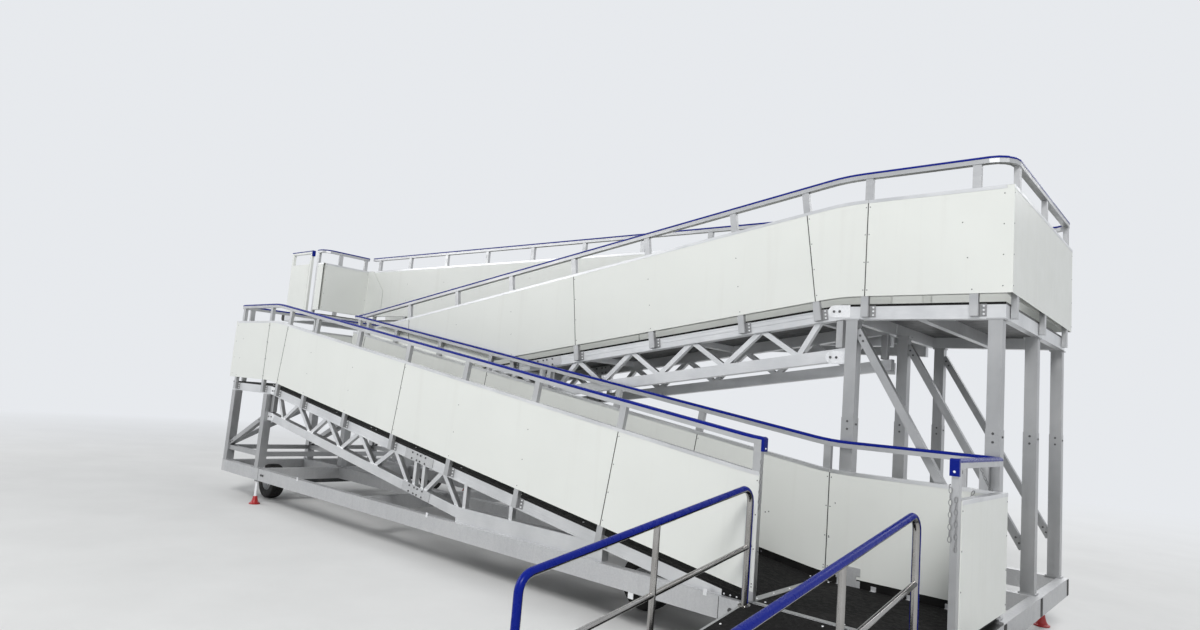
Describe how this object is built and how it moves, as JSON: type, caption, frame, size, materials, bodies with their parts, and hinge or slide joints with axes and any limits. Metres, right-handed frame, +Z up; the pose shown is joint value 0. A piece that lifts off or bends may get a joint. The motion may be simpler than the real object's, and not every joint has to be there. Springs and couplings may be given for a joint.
{
  "type": "aircraft boarding ramp",
  "caption": "Wheeled step-free boarding ramp with switchback flights, lattice girders, side walls, handrails and a tilting top flight to a door platform.",
  "frame": {"origin": "on the ground, under the middle of the machine's bounding box", "axes": "+X along the flights towards the towing end, +Y away from the entry ramp, +Z up"},
  "size_m": [12.645, 6.575, 3.83],
  "materials": {
    "base_frame": "satin",
    "tower_row_near": "satin",
    "tower_row_mid": "satin",
    "tower_row_far": "satin",
    "trestle_near": "satin",
    "trestle_mid": "satin",
    "trestle_far": "satin",
    "entrance_deck": "satin",
    "entrance_panels": "satin",
    "entrance_rails": "satin",
    "low_flight_deck": "satin",
    "low_flight_truss": "satin",
    "low_flight_panels": "satin",
    "low_flight_rails": "satin",
    "mid_flight_deck": "satin",
    "mid_flight_truss": "satin",
    "mid_flight_panels": "satin",
    "mid_flight_rails": "satin",
    "turn_deck": "satin",
    "turn_panels": "satin",
    "turn_rails": "satin",
    "top_deck": "satin",
    "top_panels": "satin",
    "top_rails": "satin",
    "base_sleeves": "satin",
    "lift_masts": "satin",
    "rear_axle": "satin",
    "steer_axle": "satin",
    "drawbar": "satin",
    "entry_ramp": "satin",
    "entry_rails": "satin",
    "entry_sleeves": "satin",
    "bridge_deck": "satin",
    "bridge_panels": "satin",
    "bridge_rails": "satin",
    "bridge_sleeves": "satin",
    "lift_frame": "satin",
    "cab_deck": "satin",
    "cab_panels": "satin",
    "cab_rails": "satin",
    "cab_sleeves": "satin",
    "cab_bumper": "satin",
    "cab_slider_near": "satin",
    "slider_sleeve_near": "satin",
    "cab_slider_far": "satin",
    "slider_sleeve_far": "satin",
    "tyre_rear_near": "satin",
    "rim_rear_near": "satin",
    "tyre_rear_far": "satin",
    "rim_rear_far": "satin",
    "tyre_steer_near": "satin",
    "rim_steer_near": "satin",
    "tyre_steer_far": "satin",
    "rim_steer_far": "satin",
    "jack_1": "satin",
    "jack_2": "satin",
    "jack_3": "satin",
    "jack_4": "satin"
  },
  "bodies": {
    "base": {"base_frame": "base_frame", "tower_row_near": "tower_row_near", "tower_row_mid": "tower_row_mid", "tower_row_far": "tower_row_far", "trestle_near": "trestle_near", "trestle_mid": "trestle_mid", "trestle_far": "trestle_far", "entrance_deck": "entrance_deck", "entrance_panels": "entrance_panels", "entrance_rails": "entrance_rails", "low_flight_deck": "low_flight_deck", "low_flight_truss": "low_flight_truss", "low_flight_panels": "low_flight_panels", "low_flight_rails": "low_flight_rails", "mid_flight_deck": "mid_flight_deck", "mid_flight_truss": "mid_flight_truss", "mid_flight_panels": "mid_flight_panels", "mid_flight_rails": "mid_flight_rails", "turn_deck": "turn_deck", "turn_panels": "turn_panels", "turn_rails": "turn_rails", "top_deck": "top_deck", "top_panels": "top_panels", "top_rails": "top_rails", "base_sleeves": "base_sleeves", "lift_masts": "lift_masts", "rear_axle": "rear_axle"},
    "steering": {"steer_axle": "steer_axle"},
    "tow_bar": {"drawbar": "drawbar"},
    "entry": {"entry_ramp": "entry_ramp", "entry_rails": "entry_rails", "entry_sleeves": "entry_sleeves"},
    "bridge": {"bridge_deck": "bridge_deck", "bridge_panels": "bridge_panels", "bridge_rails": "bridge_rails", "bridge_sleeves": "bridge_sleeves"},
    "lift": {"lift_frame": "lift_frame"},
    "cab": {"cab_deck": "cab_deck", "cab_panels": "cab_panels", "cab_rails": "cab_rails", "cab_sleeves": "cab_sleeves", "cab_bumper": "cab_bumper"},
    "slider_near": {"cab_slider_near": "cab_slider_near", "slider_sleeve_near": "slider_sleeve_near"},
    "slider_far": {"cab_slider_far": "cab_slider_far", "slider_sleeve_far": "slider_sleeve_far"},
    "wheel_rear_near": {"tyre_rear_near": "tyre_rear_near", "rim_rear_near": "rim_rear_near"},
    "wheel_rear_far": {"tyre_rear_far": "tyre_rear_far", "rim_rear_far": "rim_rear_far"},
    "wheel_steer_near": {"tyre_steer_near": "tyre_steer_near", "rim_steer_near": "rim_steer_near"},
    "wheel_steer_far": {"tyre_steer_far": "tyre_steer_far", "rim_steer_far": "rim_steer_far"},
    "jack_1": {"jack_1": "jack_1"},
    "jack_2": {"jack_2": "jack_2"},
    "jack_3": {"jack_3": "jack_3"},
    "jack_4": {"jack_4": "jack_4"}
  },
  "joints": [
    {"name": "steering", "type": "hinge", "parent": "base", "child": "steering", "pos_m": [2.6225, 1.4875, 0.29], "axis": [0, 0, 1], "range_deg": [-25, 25]},
    {"name": "tow_bar_lift", "type": "hinge", "parent": "steering", "child": "tow_bar", "pos_m": [5.6225, 1.4875, 0.23], "axis": [0, -1, 0], "range_deg": [0, 80]},
    {"name": "entry_tilt", "type": "hinge", "parent": "base", "child": "entry", "pos_m": [3.9795, -0.3275, 0.43], "axis": [-1, 0, 0], "range_deg": [0, 2.4]},
    {"name": "bridge_tilt", "type": "hinge", "parent": "base", "child": "bridge", "pos_m": [3.9345, 2.6775, 2.6], "axis": [0, 1, 0], "range_deg": [-3, 5]},
    {"name": "lift", "type": "slide", "parent": "base", "child": "lift", "axis": [0, 0, 1], "range_m": [-0.42, 0.7]},
    {"name": "cab_level", "type": "hinge", "parent": "bridge", "child": "cab", "pos_m": [-5.0555, 2.6775, 2.68], "axis": [0, 1, 0], "range_deg": [-5.5, 3.5]},
    {"name": "slider_near", "type": "slide", "parent": "cab", "child": "slider_near", "axis": [1, 0, 0], "range_m": [0, 0.12]},
    {"name": "slider_far", "type": "slide", "parent": "cab", "child": "slider_far", "axis": [1, 0, 0], "range_m": [0, 0.12]},
    {"name": "wheel_rear_near", "type": "hinge", "parent": "base", "child": "wheel_rear_near", "pos_m": [-3.7255, 0.1445, 0.23], "axis": [0, 1, 0], "continuous": true},
    {"name": "wheel_rear_far", "type": "hinge", "parent": "base", "child": "wheel_rear_far", "pos_m": [-3.7255, 2.8305, 0.23], "axis": [0, 1, 0], "continuous": true},
    {"name": "wheel_steer_near", "type": "hinge", "parent": "steering", "child": "wheel_steer_near", "pos_m": [2.6225, 0.3835, 0.23], "axis": [0, 1, 0], "continuous": true},
    {"name": "wheel_steer_far", "type": "hinge", "parent": "steering", "child": "wheel_steer_far", "pos_m": [2.6225, 2.5915, 0.23], "axis": [0, 1, 0], "continuous": true},
    {"name": "jack_1", "type": "slide", "parent": "base", "child": "jack_1", "axis": [0, 0, 1], "range_m": [0, 0.08]},
    {"name": "jack_2", "type": "slide", "parent": "base", "child": "jack_2", "axis": [0, 0, 1], "range_m": [0, 0.08]},
    {"name": "jack_3", "type": "slide", "parent": "base", "child": "jack_3", "axis": [0, 0, 1], "range_m": [0, 0.08]},
    {"name": "jack_4", "type": "slide", "parent": "base", "child": "jack_4", "axis": [0, 0, 1], "range_m": [0, 0.08]}
  ],
  "couplings": [
    {"joint": "lift", "follows": "bridge_tilt", "m_per_rad": 7.768},
    {"joint": "cab_level", "follows": "bridge_tilt", "ratio": -1}
  ]
}
